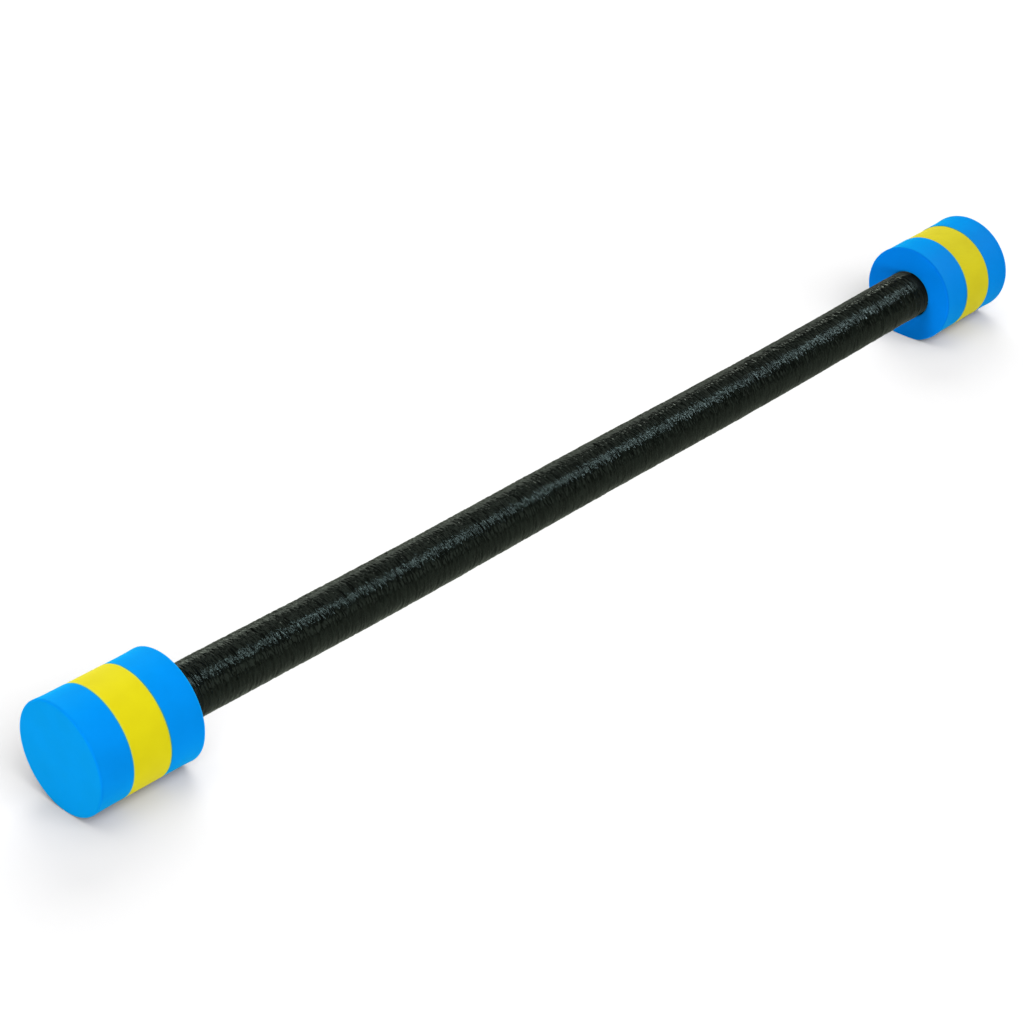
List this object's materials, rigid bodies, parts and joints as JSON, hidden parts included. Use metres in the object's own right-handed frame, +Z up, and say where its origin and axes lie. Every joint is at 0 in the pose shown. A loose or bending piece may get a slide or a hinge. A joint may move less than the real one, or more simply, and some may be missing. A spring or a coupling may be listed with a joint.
{
  "type": "pool exercise bar",
  "caption": "Long buoyant pool exercise bar: a rigid tube in a soft foam grip, with a laminated cylindrical foam float on each end.",
  "frame": {"origin": "on the floor under the middle of the bar, at the bottom centre of the bounding box", "axes": "+X along the bar towards the right float, +Z up from the floor that both floats rest on; the bar hangs 3.4 mm lower at its middle, so each float's axis climbs outward by 0.8 degrees"},
  "size_m": [1.2014, 0.0998, 0.0995],
  "materials": {
    "blue_foam": "closed-cell EVA foam, die cut, matt with a faint sheen",
    "yellow_foam": "closed-cell EVA foam, die cut, matt with a faint sheen",
    "black_foam": "extruded polyethylene foam tube with a crinkled skin, satin",
    "white_pvc": "extruded rigid PVC, satin",
    "grey_polyethylene": "moulded polyethylene, satin"
  },
  "bodies": {
    "root": {"left_outer_disc": "blue_foam", "left_middle_disc": "yellow_foam", "left_inner_disc": "blue_foam", "right_outer_disc": "blue_foam", "right_middle_disc": "yellow_foam", "right_inner_disc": "blue_foam", "grip_sleeve": "black_foam", "core_tube": "white_pvc", "left_end_plug": "grey_polyethylene", "right_end_plug": "grey_polyethylene"}
  },
  "joints": []
}
